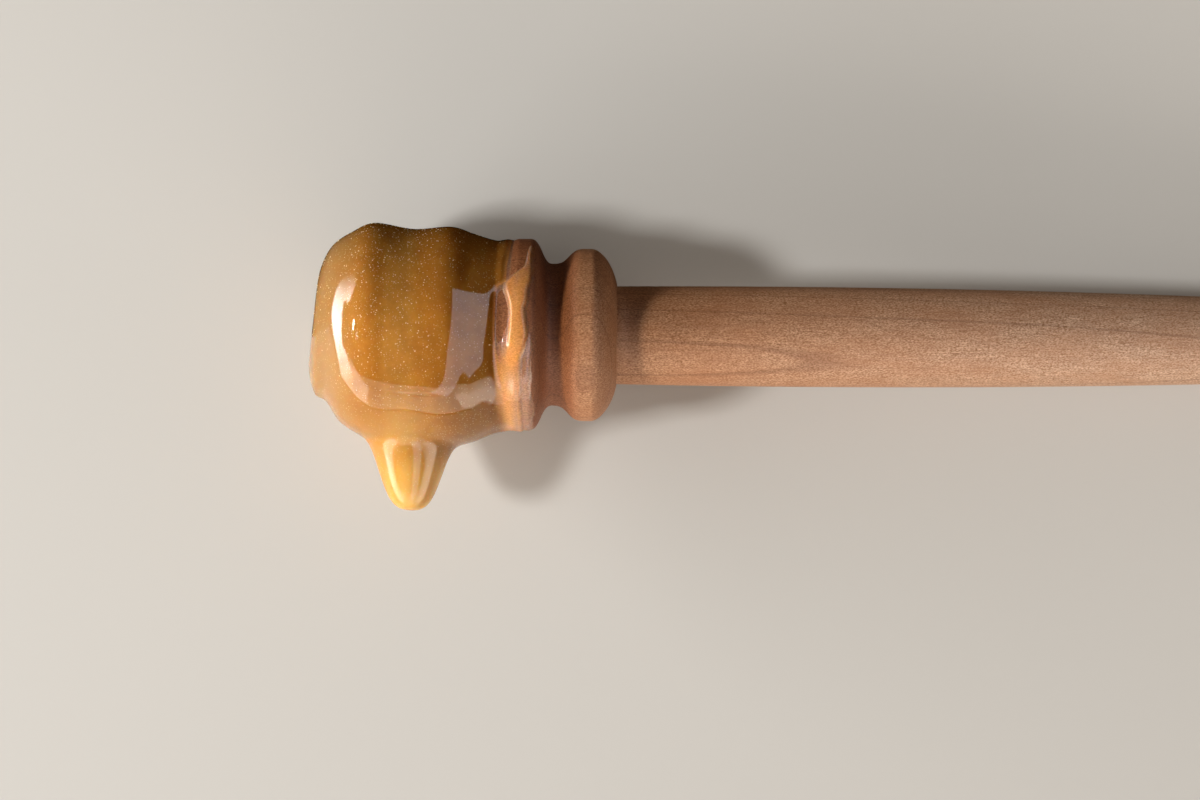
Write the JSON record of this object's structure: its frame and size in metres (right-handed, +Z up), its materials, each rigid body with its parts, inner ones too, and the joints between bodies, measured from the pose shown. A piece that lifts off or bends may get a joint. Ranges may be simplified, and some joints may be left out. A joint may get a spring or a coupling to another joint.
{
  "type": "honey dipper",
  "caption": "Turned wooden honey dipper lying down, its ringed head coated in thick amber honey with a hanging drip; lifts and pours honey.",
  "frame": {"origin": "on the surface that the dipper lies on, at the flat spot of honey under the head's second ring", "axes": "+X along the dipper from its head to its handle end, +Z up, -Y the way the drip points"},
  "size_m": [0.1523, 0.0344, 0.0259],
  "materials": {
    "wood": "bare turned hardwood, fine grain, satin",
    "honey": "thick cloudy amber honey, wet gloss"
  },
  "bodies": {
    "root": {"dipper": "wood", "honey": "honey"}
  },
  "joints": []
}
